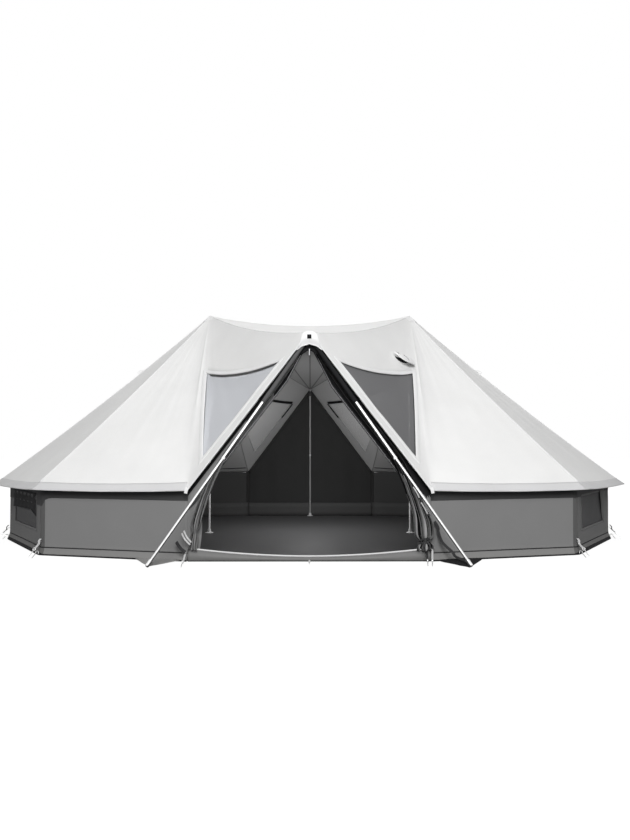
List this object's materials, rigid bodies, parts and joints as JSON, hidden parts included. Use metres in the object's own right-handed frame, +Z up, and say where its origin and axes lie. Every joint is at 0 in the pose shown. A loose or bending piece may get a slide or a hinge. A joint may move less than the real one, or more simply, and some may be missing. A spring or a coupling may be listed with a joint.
{
  "type": "glamping tent",
  "caption": "Ridge bell tent on main poles with an A-frame doorway, window panels, low walls and a groundsheet.",
  "frame": {"origin": "on the ground, on the groundsheet's underside, midway between the two main poles", "axes": "+Z up, +X to the right as seen from the front door, +Y from the front door to the rear door"},
  "size_m": [6.8, 4.5479, 2.5002],
  "materials": {
    "roof_canvas": "off-white cotton canvas",
    "wall_canvas": "mid grey coated canvas",
    "dark_canvas": "near-black canvas",
    "flap_canvas": "grey door canvas",
    "cover_canvas": "light blue-grey canvas",
    "window_screen": "dark insect mesh",
    "floor_sheet": "dark coated groundsheet",
    "steel": "galvanised steel tube"
  },
  "bodies": {
    "tent": {"roof_top_front": "roof_canvas", "roof_top_rear": "roof_canvas", "roof_gable_front_left": "roof_canvas", "roof_front_left": "roof_canvas", "roof_end_front_left": "roof_canvas", "roof_end_mid_left": "roof_canvas", "roof_end_rear_left": "roof_canvas", "roof_rear_left": "roof_canvas", "roof_gable_rear_left": "roof_canvas", "roof_gable_front_right": "roof_canvas", "roof_front_right": "roof_canvas", "roof_end_front_right": "roof_canvas", "roof_end_mid_right": "roof_canvas", "roof_end_rear_right": "roof_canvas", "roof_rear_right": "roof_canvas", "roof_gable_rear_right": "roof_canvas", "roof_window_front_left": "window_screen", "roof_window_front_right": "window_screen", "roof_window_rear_left": "window_screen", "roof_window_rear_right": "window_screen", "wall_front_left": "wall_canvas", "wall_end_front_left": "wall_canvas", "wall_end_mid_left": "wall_canvas", "wall_end_rear_left": "wall_canvas", "wall_rear_left": "wall_canvas", "wall_front_right": "wall_canvas", "wall_end_front_right": "wall_canvas", "wall_end_mid_right": "wall_canvas", "wall_end_rear_right": "wall_canvas", "wall_rear_right": "wall_canvas", "wall_window_left": "window_screen", "wall_window_right": "window_screen", "groundsheet": "floor_sheet", "front_sill": "floor_sheet", "rear_sill": "floor_sheet", "door_surround_left": "dark_canvas", "door_surround_right": "dark_canvas", "door_flap_left": "flap_canvas", "door_flap_right": "flap_canvas", "apex_cap": "roof_canvas", "a_frame_hub": "steel", "main_pole_left_upper": "steel", "main_pole_right_upper": "steel", "rear_pole_upper": "steel", "peg_corner_left": "steel", "peg_corner_right": "steel", "peg_end_left": "steel", "peg_end_right": "steel"},
    "left_leg": {"leg_upper_left": "steel"},
    "left_leg_foot": {"leg_lower_left": "steel"},
    "right_leg": {"leg_upper_right": "steel"},
    "right_leg_foot": {"leg_lower_right": "steel"},
    "left_pole_foot": {"main_pole_left_lower": "steel"},
    "right_pole_foot": {"main_pole_right_lower": "steel"},
    "rear_pole_foot": {"rear_pole_lower": "steel"},
    "left_rear_leaf": {"rear_door_left": "dark_canvas"},
    "right_rear_leaf": {"rear_door_right": "dark_canvas"},
    "window_cover": {"roof_window_cover": "cover_canvas"},
    "vent": {"vent_hood": "roof_canvas"}
  },
  "joints": [
    {"name": "left_leg_swing", "type": "hinge", "parent": "tent", "child": "left_leg", "pos_m": [-0.022, -2.225, 1.924], "axis": [0, 0.9943, -0.1069], "range_deg": [0, 3.5]},
    {"name": "left_leg_telescope", "type": "slide", "parent": "left_leg", "child": "left_leg_foot", "axis": [0.568, 0.088, 0.8183], "range_m": [0, 0.35]},
    {"name": "right_leg_swing", "type": "hinge", "parent": "tent", "child": "right_leg", "pos_m": [0.022, -2.225, 1.924], "axis": [0, -0.9943, 0.1069], "range_deg": [0, 3.5]},
    {"name": "right_leg_telescope", "type": "slide", "parent": "right_leg", "child": "right_leg_foot", "axis": [-0.568, 0.088, 0.8183], "range_m": [0, 0.35]},
    {"name": "left_pole_telescope", "type": "slide", "parent": "tent", "child": "left_pole_foot", "axis": [0, 0, 1], "range_m": [0, 0.45]},
    {"name": "right_pole_telescope", "type": "slide", "parent": "tent", "child": "right_pole_foot", "axis": [0, 0, 1], "range_m": [0, 0.45]},
    {"name": "rear_pole_telescope", "type": "slide", "parent": "tent", "child": "rear_pole_foot", "axis": [0, 0, 1], "range_m": [0, 0.35]},
    {"name": "left_rear_leaf_swing", "type": "hinge", "parent": "tent", "child": "left_rear_leaf", "pos_m": [-0.8796, 2.1, 0.61577], "axis": [0.5978, 0, 0.8016], "range_deg": [0, 100]},
    {"name": "right_rear_leaf_swing", "type": "hinge", "parent": "tent", "child": "right_rear_leaf", "pos_m": [0.8796, 2.1, 0.61577], "axis": [0.5978, 0, -0.8016], "range_deg": [0, 100]},
    {"name": "window_cover_swing", "type": "hinge", "parent": "tent", "child": "window_cover", "pos_m": [-1.07281, -0.91238, 1.76441], "axis": [-0.0782, 0.7841, 0.6157], "range_deg": [0, 75]},
    {"name": "vent_hood_swing", "type": "hinge", "parent": "tent", "child": "vent", "pos_m": [0.93635, -0.90615, 1.95635], "axis": [0.6389, 0.7565, -0.1397], "range_deg": [0, 15]}
  ]
}
